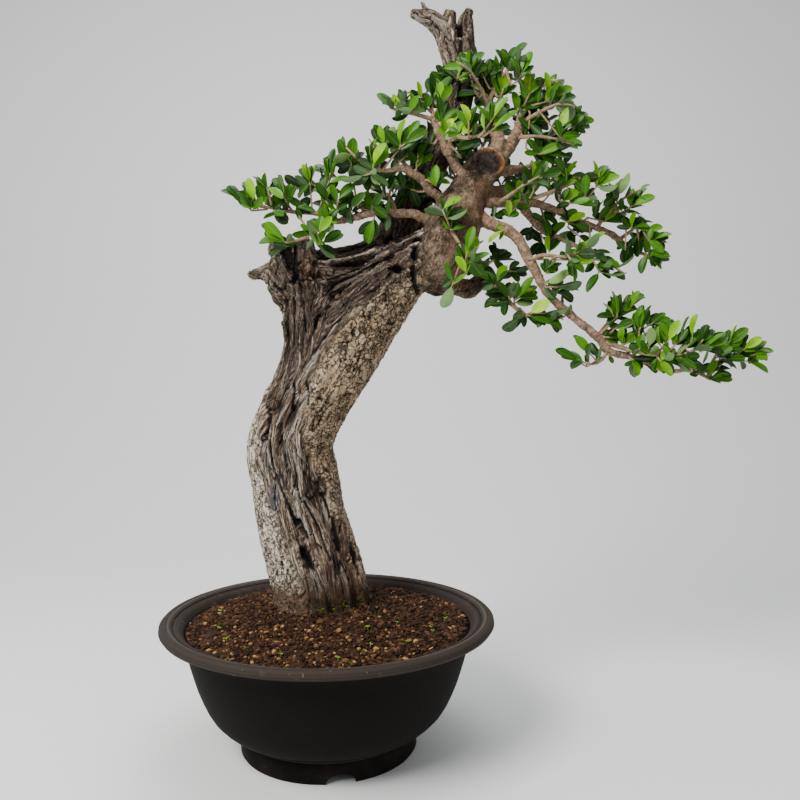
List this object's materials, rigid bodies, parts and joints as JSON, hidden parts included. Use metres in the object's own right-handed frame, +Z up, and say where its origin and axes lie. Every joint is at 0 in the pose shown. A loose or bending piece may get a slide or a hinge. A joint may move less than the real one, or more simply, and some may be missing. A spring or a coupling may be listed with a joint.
{
  "type": "olive bonsai",
  "caption": "Old olive bonsai with a leaning, hollowed trunk, bare grey jin and nose, leafy limbs that cascade to one side, in a round footed training pot.",
  "frame": {"origin": "middle of the bounding box's footprint, on the surface that the pot stands on; the pot's own axis lies to the left of it, because the limbs reach out to the right", "axes": "+Z up, front towards -Y, the cascade reaches towards +X"},
  "size_m": [0.5854, 0.32, 0.7257],
  "materials": {
    "pot_clay": "unglazed dark brown, matte",
    "mesh_plastic": "black-green moulded mesh",
    "soil_grain": "loose red-brown granules",
    "tree_wood": "cracked bark and grey furrowed deadwood",
    "foliage": "leathery green leaves on brown twigs"
  },
  "bodies": {
    "root": {"pot": "pot_clay", "drain_mesh": "mesh_plastic", "soil": "soil_grain", "trunk_and_limbs": "tree_wood", "spray_left_tip": "foliage", "spray_left_low": "foliage", "spray_left_mid": "foliage", "spray_left_back": "foliage", "spray_shoulder_left": "foliage", "spray_shoulder_up": "foliage", "spray_shoulder_back": "foliage", "spray_crown_left": "foliage", "spray_crown_left_up": "foliage", "spray_crown_front": "foliage", "spray_top_left": "foliage", "spray_top_middle": "foliage", "spray_top_back": "foliage", "spray_top_right": "foliage", "spray_right_crown": "foliage", "spray_right_crown_low": "foliage", "spray_right_crown_back": "foliage", "spray_right_stub": "foliage", "spray_right_upper": "foliage", "spray_right_upper_front": "foliage", "spray_right_upper_back": "foliage", "spray_right_far_up": "foliage", "spray_right_far_mid": "foliage", "spray_right_far_tip": "foliage", "spray_right_low_front": "foliage", "spray_right_low_mid": "foliage", "spray_right_hang": "foliage", "spray_cascade_tip": "foliage", "spray_cascade_over": "foliage", "spray_cascade_up": "foliage", "spray_cascade_up_far": "foliage", "spray_cascade_low": "foliage", "spray_trunk_shoot": "foliage", "spray_back_left": "foliage", "spray_back_middle": "foliage", "spray_back_right": "foliage"}
  },
  "joints": []
}
